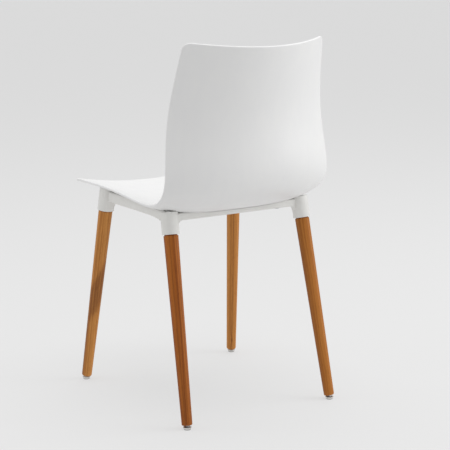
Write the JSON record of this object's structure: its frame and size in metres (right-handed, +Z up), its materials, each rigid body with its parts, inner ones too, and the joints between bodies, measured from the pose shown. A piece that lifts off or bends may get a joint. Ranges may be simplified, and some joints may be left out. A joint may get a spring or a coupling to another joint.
{
  "type": "dining chair",
  "caption": "Dining chair with a one-piece white moulded shell, a white socket frame and splayed round wooden legs on tilting glides.",
  "frame": {"origin": "on the floor, under the middle of the chair's outer box", "axes": "+X to the sitter's left, -Y to the front, +Z up"},
  "size_m": [0.4274, 0.5316, 0.8132],
  "materials": {
    "shell_plastic": "satin white moulded polypropylene",
    "frame_coating": "matt white powder coat",
    "oiled_wood": "oiled warm brown hardwood",
    "zinc_steel": "zinc plated",
    "brass": "machined",
    "rubber": "matt black",
    "nickel": "nickel plated",
    "nylon": "grey nylon"
  },
  "bodies": {
    "chair": {"seat_shell": "shell_plastic", "seat_frame": "frame_coating", "shell_inserts": "brass", "shell_buffers": "rubber", "shell_washers": "zinc_steel", "shell_screws": "zinc_steel", "leg_inserts": "zinc_steel", "leg_washers": "zinc_steel", "leg_bolts": "zinc_steel", "leg_front_left": "oiled_wood", "glide_stud_front_left": "zinc_steel", "leg_front_right": "oiled_wood", "glide_stud_front_right": "zinc_steel", "leg_rear_left": "oiled_wood", "glide_stud_rear_left": "zinc_steel", "leg_rear_right": "oiled_wood", "glide_stud_rear_right": "zinc_steel"},
    "glide_front_left": {"glide_cap_front_left": "nickel", "glide_pad_front_left": "nylon"},
    "glide_front_right": {"glide_cap_front_right": "nickel", "glide_pad_front_right": "nylon"},
    "glide_rear_left": {"glide_cap_rear_left": "nickel", "glide_pad_rear_left": "nylon"},
    "glide_rear_right": {"glide_cap_rear_right": "nickel", "glide_pad_rear_right": "nylon"}
  },
  "joints": [
    {"name": "glide_tilt_front_left", "type": "hinge", "parent": "chair", "child": "glide_front_left", "pos_m": [0.2027, -0.22425, 0.0042], "axis": [-0.9055, -0.4244, 0], "range_deg": [-6, 16]},
    {"name": "glide_tilt_front_right", "type": "hinge", "parent": "chair", "child": "glide_front_right", "pos_m": [-0.2027, -0.22425, 0.0042], "axis": [-0.9055, 0.4244, 0], "range_deg": [-6, 16]},
    {"name": "glide_tilt_rear_left", "type": "hinge", "parent": "chair", "child": "glide_rear_left", "pos_m": [0.18597, 0.21609, 0.0042], "axis": [0.9819, -0.1896, 0], "range_deg": [-4, 18]},
    {"name": "glide_tilt_rear_right", "type": "hinge", "parent": "chair", "child": "glide_rear_right", "pos_m": [-0.18597, 0.21609, 0.0042], "axis": [0.9819, 0.1896, 0], "range_deg": [-4, 18]}
  ]
}
